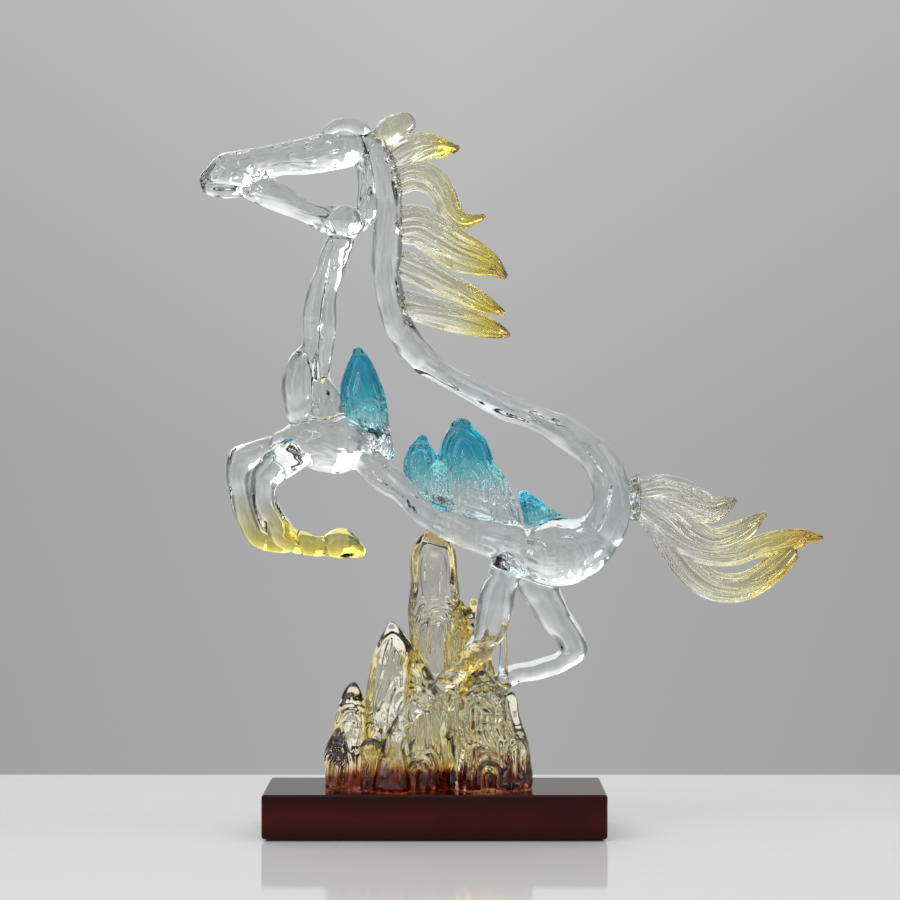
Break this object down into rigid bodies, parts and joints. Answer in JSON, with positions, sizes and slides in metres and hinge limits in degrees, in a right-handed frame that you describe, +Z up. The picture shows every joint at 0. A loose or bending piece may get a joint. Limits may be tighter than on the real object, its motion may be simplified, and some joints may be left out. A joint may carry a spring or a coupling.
{
  "type": "crystal glass horse figurine",
  "caption": "Free-standing open-outline leaping horse in clear cast glass, with yellow mane, tail and hooves, teal peaks, an amber rock pile and a dark rectangular plinth.",
  "frame": {"origin": "centre of the plinth's underside, on the surface that it stands on", "axes": "+Z up, -X the way the horse runs, +Y towards its far side"},
  "size_m": [0.2695, 0.064, 0.3085],
  "materials": {
    "felt": "short felt",
    "plinth_glass": "polished dark red-brown",
    "clear_glass": "polished clear",
    "yellow_glass": "polished clear, fading to yellow",
    "teal_glass": "polished, clear foot fading to teal",
    "amber_glass": "polished amber, darker at the foot",
    "brown_glass": "polished brown"
  },
  "bodies": {
    "root": {"felt_pad": "felt", "plinth": "plinth_glass", "rock_tall": "amber_glass", "rock_left": "amber_glass", "rock_low": "brown_glass", "rock_mid": "amber_glass", "rock_right": "brown_glass", "rock_pebble": "brown_glass", "belly": "clear_glass", "shoulder": "clear_glass", "haunch": "clear_glass", "back": "clear_glass", "neck": "clear_glass", "throat": "clear_glass", "breast": "clear_glass", "head": "clear_glass", "lower_jaw": "clear_glass", "forelock": "clear_glass", "ear_near": "clear_glass", "ear_far": "clear_glass", "foreleg_far": "clear_glass", "hoof_fore_far": "yellow_glass", "foreleg_near": "clear_glass", "hoof_fore_near": "yellow_glass", "hind_leg_standing": "clear_glass", "hoof_standing": "brown_glass", "hind_leg_bent": "clear_glass", "support_rod": "clear_glass", "tail_collar": "clear_glass", "tail": "yellow_glass", "mane_lock_1": "yellow_glass", "mane_lock_2": "yellow_glass", "mane_lock_3": "yellow_glass", "mane_lock_4": "yellow_glass", "mane_lock_5": "yellow_glass", "chest_peak": "teal_glass", "belly_peaks": "teal_glass", "flank_peak": "teal_glass"}
  },
  "joints": []
}
